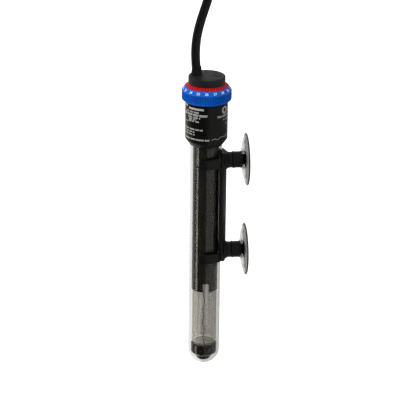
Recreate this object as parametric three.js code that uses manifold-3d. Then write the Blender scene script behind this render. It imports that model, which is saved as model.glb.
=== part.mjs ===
// Submersible aquarium heater with an adjustable thermostat, held by a slide-on suction-cup holder.
// Millimetres, +Z up. The heater lies across its two suction cups, as it does when it is stuck to a
// pane: the cups' rims rest on z = 0 and the tube's axis runs along +X, with the head at the +X end.
//
// The heater is drawn upright, in its own axes, and turned over as one group at the end. There z runs
// up the tube from the closed end of the glass, and +x points from the tube's axis to the cups.

import * as THREE from 'three';
import { mergeVertices } from 'three/addons/utils/BufferGeometryUtils.js';
import Module from 'manifold-3d';

const wasm = await Module();
wasm.setup();

// ---- driving dimensions -----------------------------------------------------------------------

const GAP = 0.3;                    // clearance kept between pieces that touch
const LENGTH = 245;                 // closed end of the glass to the cord outlet's rim
const AXIS_HEIGHT = 32.3;           // tube axis above the surface that the cups rest on

const GLASS_R = 12.5;
const GLASS_BORE = 11.2;
const GLASS_TOP = 212.5;
const MOUTH_R = GLASS_R + GAP;      // bore of the head round the glass

const HOUSING_R = 16.1;
const HOUSING_LIP = 0.15;           // width of the cone's lower rim
const HOUSING_BOTTOM = 187.6;
const CONE_TOP = 192.2;
const HOUSING_TOP = 222.5;
const SEAL_SHELF = 205;             // step in the housing that the tube seal sits on
const CHAMBER_R = 14.4;             // bore of the housing above that step
const LABEL_BORE = HOUSING_R + 0.25;
const LABEL_R = HOUSING_R + 0.5;
const LABEL_BOTTOM = CONE_TOP + 0.4;
const LABEL_TOP = 222;
const SEAL_R = CHAMBER_R - GAP;
const SEAL_TOP = 210.5;
const FOLLOWER_TOP = 213.5;

const STEM_R = 13.4;                // neck of the head core, inside the dial
const STEM_TOP = 237;
const FLANGE_BOTTOM = 213.8;
const FLANGE_TOP = 222.2;
const CORE_R = 10.9;                // the core's plug fills the mouth of the glass
const CORE_BOTTOM = 199;

const DIAL_R = 19.35;
const DIAL_FOOT_R = 16.7;
const DIAL_CROWN_R = 16.8;
const DIAL_BOTTOM = 222.8;
const DIAL_TOP = 234.9;
const DIAL_BORE = 16.5;
const GRIP_BOTTOM = 224.6;          // ribbed band of the dial
const GRIP_TOP = 231.9;
const GEAR_R = 17.5;                // outside of the dial's inner gear, within its wall
const GEAR_BOTTOM = 223.7;
const GEAR_TOP = 230.9;
const WASHER_BORE = 14.2;
const RED_BORE = STEM_R + 0.35;
const RED_R = DIAL_BORE - GAP;
const RED_CROWN_R = 14.2;
const RED_BOTTOM = GEAR_TOP + GAP;
const RED_TOP = 237.1;

const MODULE = 1;                   // gear module
const RING_TEETH = 30;
const RING_TIP = 14.1;
const RING_ROOT = 16.2;
const PINION_TEETH = 15;
const PINION_TIP = 8.3;
const PINION_ROOT = 6.3;
const TOOTH_TIP_HALF = 0.35;        // half the width of a tooth
const TOOTH_ROOT_HALF = 0.75;
const PINION_BOTTOM = 224.1;
const PINION_TOP = 230.2;
const PINION_PLAY = 0.4;            // room above and below the pinion
const PINION_ROOM_R = PINION_TIP + 0.5;
const SPINDLE_X = MODULE * (RING_TEETH - PINION_TEETH) / 2;
const SPINDLE_R = 1.6;
const THREAD_R = 1.4;
const THREAD_TOP = 182;
const SPINDLE_BOTTOM = 164;
const SPINDLE_TOP = 234;
const SPINDLE_SEAL_R = 2.9;
const SPINDLE_SEAL_BOTTOM = 217.3;
const SPINDLE_SEAL_TOP = 219.2;
const SLIDER = { x: [3.6, 8.6], y: [-3, 3], z: [170, 176] };
const SLIDER_FINGER = { x: [1.2, 4], y: [-1.5, 1.5], z: [171, 174] };

const CAP_R = 14.35;
const CAP_BOTTOM = 237.4;
const CAP_TOP = 243.1;
const CAP_EDGE = 0.9;               // bevel round the cap
const CAP_CROWN = 0.4;              // rise of its top from the bevel to the middle
const OUTLET_X = -8;                // the cord leaves the cap off centre, away from the cups
const OUTLET_R = 4.6;
const OUTLET_TIP_R = 4.3;
const OUTLET_BOTTOM = 223.5;
const LEAD_SIDES = { lead_live: 1.6, lead_neutral: -1.6 };
const LEAD_R = 0.9;
const LEAD_HOLE_R = 1.25;
const LEAD_BOTTOM = 196.5;

const SLEEVE_R = 10.25;
const SLEEVE_BORE = 9.9;
const SLEEVE_BOTTOM = 65;
const SLEEVE_TOP = 197;
const NOTCH_WIDTH = 4.9;
const NOTCH_HEIGHT = 7;

const FORMER_R = 9.05;
const FORMER_BORE = 7.6;
const FORMER_BOTTOM = 17.8;
const FORMER_TOP = 78;
const WINDING_R = 9.6;
const WINDING_BOTTOM = 19;
const WINDING_TOP = 74;
const FORMER_CAP_TOP = 82;
const WIRE_R = 0.5;
const WIRE_HOLE_R = 0.9;
const WIRE_TOP = 115.7;
const SUPPLY_Y = -4;
const END_CAP_R = 10.3;
const END_CAP_FOOT_R = 6;
const END_CAP_BOTTOM = 6;
const END_CAP_SHOULDER = 9.2;
const END_CAP_TOP = 17.4;
const FOOT_R = 5.6;
const FOOT_TIP_R = 4.8;
const FOOT_BOTTOM = 3.8;
const FOOT_SHOULDER = 4.5;
const FOOT_TOP = 5.7;

const PLATE_X = -5;                 // face of the thermostat plate
const PLATE_BOTTOM = 110;
const BLOCK_TOP = 124;              // block that holds both blades
const BLADE_BOTTOM = BLOCK_TOP + GAP;
const PLATE = { x: [PLATE_X - 1.2, PLATE_X], y: [-6.5, 6.5], z: [PLATE_BOTTOM, CORE_BOTTOM - GAP] };
const BLADE_BLOCK = { x: [PLATE_X - 0.6, 2.4], y: [-3.5, 3.5], z: [116, BLOCK_TOP] };
const BIMETAL = { x: [-3.4, -2.8], y: [-2.5, 2.5], z: [BLADE_BOTTOM, 184] };
const CONTACT_BLADE = { x: [0.4, 0.8], y: [-2.2, 2.2], z: [BLADE_BOTTOM, 183] };
const MAGNET = { x: [-2.2, 0.1], y: [-2, 2], z: [179.5, 183] };
const CONTACT_R = 1.2;
const CONTACT_Z = 176;
const MOVING_CONTACT = [-2.5, -1.6];
const FIXED_CONTACT = [-1.3, 0.1];
const LAMP_BOTTOM = 186;
const LAMP_TOP = 196;
const LAMP_R = 2.2;
const CAPACITOR_TOP = 194;
const CAPACITOR_R = 2.5;
const LAMP_Y = 5.5;

const HOLDER_BORE = 12.8;
const CLIP_R = 14.8;
const SPINE_R = 16.3;
const SPINE_BOTTOM = 89.5;
const SPINE_TOP = 180.6;
const SPINE_REACH = 44;             // degrees to each side
const CLIP_BOTTOMS = [90.5, 170];
const CLIP_HEIGHT = 8;
const CLIP_REACH = 118.5;
const SOCKET_R = 6.3;
const SOCKET_START = 15.5;          // distances out from the tube's axis
const SOCKET_END = 20.3;
const SOCKET_BORE = 3.2;
const SOCKET_FLOOR = 17;
const CUP_HEIGHTS = { lower: 97.1, upper: 173 };
const PIN_R = 2.9;
const ARM_R = 6.7;
const ARM_START = 20.6;
const NECK_R = 4;                   // neck of the arm, in the cup's hole
const BUTTON_START = 30.2;
const BUTTON_SHOULDER = 31.3;
const BUTTON_END = 31.7;
const BUTTON_TIP_R = 5;
const CUP_R = 20.65;
const CUP_BACK = 28.4;              // where the cup's skin starts, out from the tube's axis
const CUP_HOLE_R = 4.3;

const CORD_R = 3.5;
const CORD_SIDES = 10;
const HANK_NEAR = 222;              // ends of the hank along X
const HANK_FAR = 363;
const HANK_OUTER_R = 31.5;
const HANK_INNER_R = 17.5;
const HANK_BOTTOM = 1.1;            // the tie's band passes under the hank
const HANK_TOP = 22.1;
const TIE_WIDTH = 12;
const TIE_BAND = 0.8;
const PLUG_Y = 21.5;
const PLUG_Z = 30;
const PLUG = { x: [269, 299], y: [-11, 11], z: [-7.5, 7.5] };
const RELIEF = { start: 254.4, end: 270, start_r: 4.1, end_r: 5.6 };
const BLADE_SIDES = { plug_blade_1: -6.35, plug_blade_2: 6.35 };
const BLADE_END = 316;
const BLADE_HALF_WIDTH = 3.15;
const BLADE_HALF_THICKNESS = 0.75;

// ---- finishes -----------------------------------------------------------------------------------

const finish = (color, roughness, metalness = 0) =>
  new THREE.MeshStandardMaterial({ color, roughness, metalness });

const BLACK = finish(0x161617, 0.45);
const SOFT_BLACK = finish(0x1c1c1d, 0.7);
const LABEL = finish(0x101011, 0.3);
const BLUE = finish(0x2563c4, 0.35);
const RED = finish(0xc82a30, 0.4);
const GLASS = finish(0xe8efec, 0.05);
const SLEEVE_GREY = finish(0x2a2826, 0.4);
const FORMER_BEIGE = finish(0xb9b2a0, 0.5);
const CLEAR_RUBBER = finish(0xb9bcb9, 0.3);
const STEEL = finish(0xb8bcc0, 0.3, 1);
const BRASS = finish(0xc09a50, 0.3, 1);
const COPPER = finish(0xb06a3a, 0.35, 1);
const CREAM = finish(0xd8cdb0, 0.5);
const ORANGE = finish(0xd86020, 0.4);
const BROWN = finish(0x6a4630, 0.5);
const PALE_BLUE = finish(0x5a86c8, 0.5);

// ---- shapes ---------------------------------------------------------------------------------------

// Solid of revolution about z. Each profile point is [radius, z], counter-clockwise seen with z up.
function turned(profile, segments = 36) {
  const points = profile.map(([radius, z]) => new THREE.Vector2(radius, z));
  return new THREE.LatheGeometry(points, segments).rotateX(Math.PI / 2);
}

function disc(radius, bottom, top, segments = 36) {
  return turned([[0, bottom], [radius, bottom], [radius, top], [0, top]], segments);
}

function ring(inner, outer, bottom, top, segments = 36) {
  return turned([[inner, bottom], [outer, bottom], [outer, top], [inner, top], [inner, bottom]], segments);
}

function at(geometry, x, y = 0, z = 0) {
  return geometry.translate(x, y, z);
}

// A piece drawn about z, laid along +x at a given height.
function along_x(geometry, height) {
  return geometry.rotateY(Math.PI / 2).translate(0, 0, height);
}

function block({ x: [x0, x1], y: [y0, y1], z: [z0, z1] }) {
  const box = new THREE.BoxGeometry(x1 - x0, y1 - y0, z1 - z0);
  return box.translate((x0 + x1) / 2, (y0 + y1) / 2, (z0 + z1) / 2);
}

function extruded(shape, bottom, top, curveSegments = 12) {
  const options = { depth: top - bottom, bevelEnabled: false, curveSegments };
  return new THREE.ExtrudeGeometry(shape, options).translate(0, 0, bottom);
}

// Part of a ring, centred on +x, that reaches half_angle degrees to each side.
function sector(inner, outer, half_angle, bottom, top) {
  const reach = THREE.MathUtils.degToRad(half_angle);
  const shape = new THREE.Shape();
  shape.absarc(0, 0, outer, -reach, reach, false);
  shape.absarc(0, 0, inner, reach, -reach, true);
  return extruded(shape, bottom, top, Math.ceil(half_angle / 5));
}

// Round tube along a smooth curve through the given points.
function tube(route, radius, sides, steps) {
  const section = new THREE.Shape();
  for (let i = 0; i < sides; i += 1) {
    const angle = 2 * Math.PI * i / sides;
    const corner = [radius * Math.cos(angle), radius * Math.sin(angle)];
    if (i === 0) section.moveTo(...corner);
    else section.lineTo(...corner);
  }
  section.closePath();
  const extrudePath = new THREE.CatmullRomCurve3(route.map((point) => new THREE.Vector3(...point)));
  return new THREE.ExtrudeGeometry(section, { steps, bevelEnabled: false, extrudePath });
}

// Race-track outline along x: two half circles joined by straight sides.
function race_track(path, radius, near, far) {
  path.absarc(far, 0, radius, -Math.PI / 2, Math.PI / 2, false);
  path.absarc(near, 0, radius, Math.PI / 2, 1.5 * Math.PI, false);
  return path;
}

// Closed outline with straight-sided teeth. A tooth stands on +x when centred is true, else a space.
function toothed(path, count, tip, root, centred) {
  const pitch = 2 * Math.PI / count;
  const start = centred ? 0 : pitch / 2;
  for (let tooth = 0; tooth < count; tooth += 1) {
    const middle = start + tooth * pitch;
    const corners = [
      [root, -TOOTH_ROOT_HALF], [tip, -TOOTH_TIP_HALF], [tip, TOOTH_TIP_HALF], [root, TOOTH_ROOT_HALF],
    ];
    for (const [radius, half_width] of corners) {
      const turn = middle + half_width / radius;
      const corner = [radius * Math.cos(turn), radius * Math.sin(turn)];
      if (path.curves.length === 0 && path.currentPoint.length() === 0) path.moveTo(...corner);
      else path.lineTo(...corner);
    }
  }
  path.closePath();
  return path;
}

// ---- joining and cutting ---------------------------------------------------------------------------

function solid(geometry) {
  const bare = geometry.clone();
  bare.deleteAttribute('normal');
  bare.deleteAttribute('uv');
  const merged = mergeVertices(bare, 1e-5);
  const vertProperties = new Float32Array(merged.attributes.position.array);
  const triVerts = new Uint32Array(merged.index.array);
  return new wasm.Manifold(new wasm.Mesh({ numProp: 3, vertProperties, triVerts }));
}

function geometry_of(manifold) {
  const { vertProperties, triVerts } = manifold.getMesh();
  const geometry = new THREE.BufferGeometry();
  geometry.setAttribute('position', new THREE.BufferAttribute(new Float32Array(vertProperties), 3));
  geometry.setIndex(new THREE.BufferAttribute(new Uint32Array(triVerts), 1));
  geometry.computeVertexNormals();
  return geometry;
}

function joined(first, ...others) {
  return geometry_of(others.reduce((whole, other) => whole.add(solid(other)), solid(first)));
}

function cut(first, ...tools) {
  return geometry_of(tools.reduce((whole, tool) => whole.subtract(solid(tool)), solid(first)));
}

// ---- assembly ----------------------------------------------------------------------------------------

const heater = new THREE.Group();
const cord = new THREE.Group();

function add(group, name, material, geometry) {
  const mesh = new THREE.Mesh(geometry, material);
  mesh.name = name;
  group.add(mesh);
}

function arc(centre_z, radius, from, to, steps) {
  return Array.from({ length: steps + 1 }, (_, i) => {
    const angle = THREE.MathUtils.degToRad(from + (to - from) * i / steps);
    return [Math.max(0, radius * Math.cos(angle)), centre_z + radius * Math.sin(angle)];
  });
}

function glass() {
  const outside = arc(GLASS_R, GLASS_R, -90, 0, 7);
  const inside = arc(GLASS_R, GLASS_BORE, 0, -90, 7);
  const rim = [[GLASS_R, GLASS_TOP], [GLASS_BORE, GLASS_TOP]];
  add(heater, 'glass_tube', GLASS, turned([...outside, ...rim, ...inside]));
}

function head() {
  add(heater, 'head_housing', BLACK, turned([
    [MOUTH_R, HOUSING_BOTTOM], [MOUTH_R + HOUSING_LIP, HOUSING_BOTTOM], [HOUSING_R, CONE_TOP],
    [HOUSING_R, HOUSING_TOP], [CHAMBER_R, HOUSING_TOP], [CHAMBER_R, SEAL_SHELF], [MOUTH_R, SEAL_SHELF],
    [MOUTH_R, HOUSING_BOTTOM],
  ], 48));
  add(heater, 'label_wrap', LABEL, ring(LABEL_BORE, LABEL_R, LABEL_BOTTOM, LABEL_TOP, 48));
  add(heater, 'tube_seal', SOFT_BLACK, ring(MOUTH_R, SEAL_R, SEAL_SHELF + GAP, SEAL_TOP, 24));
  add(heater, 'seal_follower', STEEL, ring(MOUTH_R, SEAL_R, SEAL_TOP + GAP, FOLLOWER_TOP, 24));

  const core = turned([
    [0, CORE_BOTTOM], [CORE_R, CORE_BOTTOM], [CORE_R, FLANGE_BOTTOM], [SEAL_R, FLANGE_BOTTOM],
    [SEAL_R, FLANGE_TOP], [STEM_R, FLANGE_TOP], [STEM_R, STEM_TOP], [0, STEM_TOP],
  ], 48);
  const below = CORE_BOTTOM - 1;
  const lead_holes = Object.values(LEAD_SIDES).map(
    (y) => at(disc(LEAD_HOLE_R, below, OUTLET_BOTTOM, 12), OUTLET_X, y),
  );
  const seal_room = disc(SPINDLE_SEAL_R + GAP, SPINDLE_SEAL_BOTTOM - GAP, SPINDLE_SEAL_TOP + GAP, 16);
  add(heater, 'head_core', BLACK, cut(
    core,
    at(disc(OUTLET_R + GAP, OUTLET_BOTTOM - GAP, STEM_TOP + 1, 24), OUTLET_X),
    at(disc(PINION_ROOM_R, PINION_BOTTOM - PINION_PLAY, PINION_TOP + PINION_PLAY, 32), SPINDLE_X),
    at(disc(SPINDLE_R + GAP, below, SPINDLE_TOP + GAP, 16), SPINDLE_X),
    at(seal_room, SPINDLE_X),
    ...lead_holes,
  ));
  const spindle_seal = ring(SPINDLE_R + GAP, SPINDLE_SEAL_R, SPINDLE_SEAL_BOTTOM, SPINDLE_SEAL_TOP, 16);
  add(heater, 'spindle_seal', SOFT_BLACK, at(spindle_seal, SPINDLE_X));

  const bevel_top = CAP_TOP - CAP_CROWN;
  add(heater, 'top_cap', BLACK, cut(
    turned([
      [0, CAP_BOTTOM], [CAP_R, CAP_BOTTOM], [CAP_R, bevel_top - CAP_EDGE], [CAP_R - CAP_EDGE, bevel_top],
      [0, CAP_TOP],
    ], 40),
    at(disc(OUTLET_R + GAP, CAP_BOTTOM - 1, CAP_TOP + 1, 24), OUTLET_X),
  ));
  add(heater, 'cord_gland', SOFT_BLACK, at(turned([
    [0, OUTLET_BOTTOM], [OUTLET_R, OUTLET_BOTTOM], [OUTLET_R, CAP_TOP], [OUTLET_TIP_R, LENGTH], [0, LENGTH],
  ], 24), OUTLET_X));
}

function dial() {
  const shell = turned([
    [DIAL_BORE, DIAL_BOTTOM], [DIAL_FOOT_R, DIAL_BOTTOM], [DIAL_R, GRIP_BOTTOM], [DIAL_R, GRIP_TOP],
    [DIAL_CROWN_R, DIAL_TOP], [DIAL_BORE, DIAL_TOP], [DIAL_BORE, DIAL_BOTTOM],
  ], 60);
  const gear = new THREE.Shape();
  gear.absarc(0, 0, GEAR_R, 0, 2 * Math.PI, false);
  gear.holes.push(toothed(new THREE.Path(), RING_TEETH, RING_TIP, RING_ROOT, false));
  add(heater, 'temperature_dial', BLUE, joined(shell, extruded(gear, GEAR_BOTTOM, GEAR_TOP, 24)));
  add(heater, 'dial_washer', CREAM, ring(WASHER_BORE, DIAL_BORE - GAP, DIAL_BOTTOM, GEAR_BOTTOM - GAP));
  add(heater, 'calibration_ring', RED, turned([
    [RED_BORE, RED_BOTTOM], [RED_R, RED_BOTTOM], [RED_R, DIAL_TOP], [RED_CROWN_R, RED_TOP],
    [RED_BORE, RED_TOP], [RED_BORE, RED_BOTTOM],
  ], 48));
}

// The dial's inner gear turns the pinion, and the spindle's thread lifts and lowers the slider.
function adjuster() {
  const pinion = toothed(new THREE.Shape(), PINION_TEETH, PINION_TIP, PINION_ROOT, true);
  const shaft = turned([
    [0, SPINDLE_BOTTOM], [THREAD_R, SPINDLE_BOTTOM], [THREAD_R, THREAD_TOP],
    [SPINDLE_R, THREAD_TOP + 2 * (SPINDLE_R - THREAD_R)], [SPINDLE_R, SPINDLE_TOP], [0, SPINDLE_TOP],
  ], 16);
  const spindle = joined(extruded(pinion, PINION_BOTTOM, PINION_TOP), shaft);
  add(heater, 'adjusting_spindle', BRASS, at(spindle, SPINDLE_X));

  const [bottom, top] = SLIDER.z;
  const bore = at(disc(THREAD_R + GAP, bottom - 1, top + 1, 16), SPINDLE_X);
  add(heater, 'adjuster_slider', CREAM, cut(joined(block(SLIDER), block(SLIDER_FINGER)), bore));
}

function thermostat() {
  add(heater, 'thermostat_frame', BROWN, joined(block(PLATE), block(BLADE_BLOCK)));
  add(heater, 'bimetal_blade', STEEL, block(BIMETAL));
  add(heater, 'contact_blade', COPPER, block(CONTACT_BLADE));
  add(heater, 'moving_contact', BRASS, along_x(disc(CONTACT_R, ...MOVING_CONTACT, 12), CONTACT_Z));
  add(heater, 'fixed_contact', BRASS, along_x(disc(CONTACT_R, ...FIXED_CONTACT, 12), CONTACT_Z));
  add(heater, 'magnet', STEEL, block(MAGNET));
  add(heater, 'neon_lamp', ORANGE, at(disc(LAMP_R, LAMP_BOTTOM, LAMP_TOP, 12), 0, LAMP_Y));
  add(heater, 'capacitor', PALE_BLUE, at(disc(CAPACITOR_R, LAMP_BOTTOM, CAPACITOR_TOP, 12), 0, -LAMP_Y));
  for (const [name, y] of Object.entries(LEAD_SIDES)) {
    const lead = disc(LEAD_R, LEAD_BOTTOM, OUTLET_BOTTOM - GAP - 0.1, 10);
    add(heater, name, name === 'lead_live' ? BROWN : PALE_BLUE, at(lead, OUTLET_X, y));
  }
}

function heating_element() {
  const half = NOTCH_WIDTH / 2;
  const notch = {
    x: [-half, half],
    y: [-SLEEVE_R - 1, 2 - SLEEVE_BORE],
    z: [SLEEVE_BOTTOM - 1, SLEEVE_BOTTOM + NOTCH_HEIGHT],
  };
  const sleeve = ring(SLEEVE_BORE, SLEEVE_R, SLEEVE_BOTTOM, SLEEVE_TOP);
  add(heater, 'heat_sleeve', SLEEVE_GREY, cut(sleeve, block(notch)));
  add(heater, 'heating_former', CREAM, ring(FORMER_BORE, FORMER_R, FORMER_BOTTOM, FORMER_TOP));
  add(heater, 'heating_winding', FORMER_BEIGE, ring(FORMER_R + GAP, WINDING_R, WINDING_BOTTOM, WINDING_TOP));
  add(heater, 'upper_former_cap', CREAM, ring(WIRE_HOLE_R, FORMER_R, FORMER_TOP + GAP, FORMER_CAP_TOP, 24));
  add(heater, 'return_wire', STEEL, disc(WIRE_R, FORMER_BOTTOM, WIRE_TOP, 8));
  add(heater, 'supply_wire', STEEL, at(disc(WIRE_R, FORMER_CAP_TOP + GAP, WIRE_TOP, 8), 0, SUPPLY_Y));
  add(heater, 'end_cap', SOFT_BLACK, turned([
    [0, END_CAP_BOTTOM], [END_CAP_FOOT_R, END_CAP_BOTTOM], [END_CAP_R, END_CAP_SHOULDER],
    [END_CAP_R, END_CAP_TOP], [0, END_CAP_TOP],
  ], 32));
  add(heater, 'buffer_foot', SOFT_BLACK, turned([
    [0, FOOT_BOTTOM], [FOOT_TIP_R, FOOT_BOTTOM], [FOOT_R, FOOT_SHOULDER], [FOOT_R, FOOT_TOP], [0, FOOT_TOP],
  ], 24));
}

function holder() {
  const pieces = [];
  for (const bottom of CLIP_BOTTOMS) {
    pieces.push(sector(HOLDER_BORE, CLIP_R, CLIP_REACH, bottom, bottom + CLIP_HEIGHT));
  }
  const bores = [];
  for (const height of Object.values(CUP_HEIGHTS)) {
    pieces.push(along_x(disc(SOCKET_R, SOCKET_START, SOCKET_END, 24), height));
    bores.push(along_x(disc(SOCKET_BORE, SOCKET_FLOOR, SOCKET_END + 1, 16), height));
  }
  const frame = joined(sector(HOLDER_BORE, SPINE_R, SPINE_REACH, SPINE_BOTTOM, SPINE_TOP), ...pieces);
  add(heater, 'tube_holder', BLACK, cut(frame, ...bores));
}

function suction_cup(side, height) {
  const arm_end = CUP_BACK - GAP;
  add(heater, `cup_arm_${side}`, BLACK, along_x(turned([
    [0, SOCKET_FLOOR + GAP], [PIN_R, SOCKET_FLOOR + GAP], [PIN_R, ARM_START], [ARM_R, ARM_START],
    [ARM_R, arm_end], [NECK_R, arm_end], [NECK_R, BUTTON_START], [ARM_R, BUTTON_START],
    [ARM_R, BUTTON_SHOULDER], [BUTTON_TIP_R, BUTTON_END], [0, BUTTON_END],
  ], 24), height));
  const inside = [[CUP_HOLE_R, 29.9], [8, 29.9], [13, 30.5], [17.4, 31.4], [19.4, AXIS_HEIGHT]];
  const outside = [[CUP_R, AXIS_HEIGHT], [CUP_R, 31.7], [16.5, 30.1], [11.5, 28.9], [8, CUP_BACK]];
  const back = [CUP_HOLE_R, CUP_BACK];
  const skin = turned([back, ...inside, ...outside, back].reverse(), 40);
  add(heater, `suction_cup_${side}`, CLEAR_RUBBER, along_x(skin, height));
}

// The lead sags from the outlet to the hank, which lies in line with the heater beyond its head.
function free_cord() {
  add(cord, 'cord_lead', SOFT_BLACK, tube([
    [123, 0, 40.4], [131, 0, 41], [139, 0, 41.3], [148, 0, 40.8], [156, 0, 39.5], [164, 0.1, 37.5],
    [172, 0.5, 35], [180, 1.4, 32.3], [188, 2.9, 29.8], [196, 5.1, 27.5], [205, 8.3, 25.2], [214, 12.3, 23.1],
    [222, 16.2, 21.5],
  ], CORD_R, CORD_SIDES, 14));
  const near = HANK_NEAR + HANK_OUTER_R;
  const far = HANK_FAR - HANK_OUTER_R;
  const outline = race_track(new THREE.Shape(), HANK_OUTER_R, near, far);
  outline.holes.push(race_track(new THREE.Path(), HANK_INNER_R, near, far));
  add(cord, 'cord_hank', SOFT_BLACK, extruded(outline, HANK_BOTTOM, HANK_TOP, 14));
  add(cord, 'cord_tail', SOFT_BLACK, tube([
    [253.5, -21, 26], [243, -18.4, 26.1], [235, -11.2, 26.6], [232.3, 0, 27.5], [235.2, 11.3, 28.6],
    [241.5, 18.3, 29.5], [247.5, 21, 29.9], [253.5, 21.5, 30],
  ], CORD_R, CORD_SIDES, 10));
}

// Hook and loop band round one side of the hank.
function tie() {
  const middle = (HANK_NEAR + HANK_FAR) / 2;
  const left = middle - TIE_WIDTH / 2;
  const right = middle + TIE_WIDTH / 2;
  const inside = [-HANK_OUTER_R - GAP, -HANK_INNER_R + GAP];
  const outside = [inside[0] - TIE_BAND, inside[1] + TIE_BAND];
  const top = HANK_TOP + GAP;
  add(cord, 'cord_tie', BLACK, cut(
    block({ x: [left, right], y: outside, z: [0, top + TIE_BAND] }),
    block({ x: [left - 1, right + 1], y: inside, z: [TIE_BAND, top] }),
  ));
}

function plug() {
  const { start, end, start_r, end_r } = RELIEF;
  const relief = turned([[0, start], [start_r, start], [end_r, end], [0, end]], 16).rotateY(Math.PI / 2);
  add(cord, 'plug_body', BLACK, at(joined(relief, block(PLUG)), 0, PLUG_Y, PLUG_Z));
  for (const [name, middle] of Object.entries(BLADE_SIDES)) {
    add(cord, name, BRASS, at(block({
      x: [PLUG.x[1] + GAP, BLADE_END],
      y: [middle - BLADE_HALF_THICKNESS, middle + BLADE_HALF_THICKNESS],
      z: [-BLADE_HALF_WIDTH, BLADE_HALF_WIDTH],
    }), 0, PLUG_Y, PLUG_Z));
  }
}

glass();
head();
dial();
adjuster();
thermostat();
heating_element();
holder();
for (const [side, height] of Object.entries(CUP_HEIGHTS)) suction_cup(side, height);
free_cord();
tie();
plug();

heater.rotation.y = Math.PI / 2;
heater.position.set(-LENGTH / 2, 0, AXIS_HEIGHT);

const part = new THREE.Group();
part.add(heater, cord);

export default part;
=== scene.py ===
# Submersible aquarium heater: a glass tube with a ribbed temperature dial on its head, held by a
# slide-on holder with two suction cups, its mains lead folded into a tied hank beyond the head.
#
# The heater's pieces are drawn upright, in millimetres: z runs up the tube from the closed end of the
# glass and +x points from the tube's axis to the suction cups. row() turns such a point into the
# frame's metres, where the tube lies along +X with its cups on the floor.

import math
import random
from functools import partial

import bmesh
import bpy
from mathutils import Matrix, Vector


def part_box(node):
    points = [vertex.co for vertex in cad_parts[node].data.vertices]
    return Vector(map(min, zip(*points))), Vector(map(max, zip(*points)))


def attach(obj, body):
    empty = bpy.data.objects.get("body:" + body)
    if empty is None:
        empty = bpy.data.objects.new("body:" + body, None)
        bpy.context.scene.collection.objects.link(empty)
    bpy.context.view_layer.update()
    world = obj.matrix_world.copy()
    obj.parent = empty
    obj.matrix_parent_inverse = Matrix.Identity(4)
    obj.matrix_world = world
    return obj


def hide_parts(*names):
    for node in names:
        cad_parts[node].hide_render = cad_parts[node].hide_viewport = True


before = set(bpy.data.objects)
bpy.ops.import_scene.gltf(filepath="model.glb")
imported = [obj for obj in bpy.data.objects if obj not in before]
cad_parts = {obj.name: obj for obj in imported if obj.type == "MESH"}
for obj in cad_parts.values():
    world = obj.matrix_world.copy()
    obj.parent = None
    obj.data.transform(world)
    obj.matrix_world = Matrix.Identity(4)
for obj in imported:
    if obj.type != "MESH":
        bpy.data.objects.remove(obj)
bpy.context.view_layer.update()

MM = 0.001
TUBE_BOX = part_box("glass_tube")
GLASS_END = TUBE_BOX[0].x
AXIS_Z = (TUBE_BOX[0].z + TUBE_BOX[1].z) / 2


def row(x, y, z):
    """A point of the upright heater, in millimetres, as a point of the frame."""
    return Vector((GLASS_END + z * MM, y * MM, AXIS_Z - x * MM))


def row_mm(x, y, z):
    """A point given in the frame's axes, in millimetres."""
    return Vector((x, y, z)) * MM


def added(name, data):
    """A new object in the scene."""
    made = bpy.data.objects.new(name, data)
    bpy.context.scene.collection.objects.link(made)
    return made


# ---- camera ----

CAMERA_AZIMUTH = math.radians(21.8)
CAMERA_ELEVATION = math.radians(6.4)
CAMERA_ROLL = math.radians(-0.641)
CAMERA_DISTANCE = 1.7454
CAMERA_TARGET = Vector((0.01739, 0, 0.0366))
LENS_MM = 200
SENSOR_MM = 36


def make_camera():
    """The heater fills the picture from bottom to top, so the camera lies on its side: +X is up."""
    level = math.cos(CAMERA_ELEVATION)
    along = math.sin(CAMERA_AZIMUTH) * level
    across = -math.cos(CAMERA_AZIMUTH) * level
    back = Vector((along, across, math.sin(CAMERA_ELEVATION)))
    up = Vector((1, 0, 0))
    up = (up - back * up.dot(back)).normalized()
    up = up * math.cos(CAMERA_ROLL) + up.cross(back) * math.sin(CAMERA_ROLL)
    right = up.cross(back)
    data = bpy.data.cameras.new("camera")
    data.lens = LENS_MM
    data.sensor_width = SENSOR_MM
    data.clip_start = 0.05
    data.clip_end = 500
    camera = added("camera", data)
    place = CAMERA_TARGET + back * CAMERA_DISTANCE
    camera.matrix_world = Matrix.Translation(place) @ Matrix((right, up, back)).transposed().to_4x4()
    bpy.context.scene.camera = camera


# ---- materials ----

def put(tree, kind, inputs=None, **settings):
    """A new node. A value in inputs that is a socket is linked, and any other is set."""
    made = tree.nodes.new(kind)
    for name, value in settings.items():
        setattr(made, name, value)
    for name, value in (inputs or {}).items():
        if isinstance(value, bpy.types.NodeSocket):
            tree.links.new(value, made.inputs[name])
        else:
            made.inputs[name].default_value = value
    return made


def blank(name):
    material = bpy.data.materials.new(name)
    material.use_nodes = True
    material.node_tree.nodes.clear()
    return material, material.node_tree


def shade(colour, factor):
    return (*(min(1, part * factor) for part in colour[:3]), 1)


NOISE_ROUGHNESS = 0.55
GLOSS_SCALE = 2.3  # patches of uneven gloss are this much finer than those of colour
SMOOTHEST = 0.02
NAP_SCALE = 2600
WEAVE_SCALE = 420
NAP_DEPTH = 0.12


def noise(tree, scale, detail=3, stretch=(1, 1, 1)):
    """Noise in the piece's own metres, drawn out along an axis where stretch is small."""
    place = put(tree, "ShaderNodeTexCoord").outputs["Object"]
    mapped = put(tree, "ShaderNodeMapping", {"Vector": place, "Scale": stretch}).outputs["Vector"]
    inputs = {"Vector": mapped, "Scale": scale, "Detail": detail, "Roughness": NOISE_ROUGHNESS}
    return put(tree, "ShaderNodeTexNoise", inputs).outputs["Fac"]


def ranged(tree, value, low, high, low_in=0.3, high_in=0.7):
    inputs = {"Value": value, "From Min": low_in, "From Max": high_in, "To Min": low, "To Max": high}
    return put(tree, "ShaderNodeMapRange", inputs).outputs["Result"]


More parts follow.
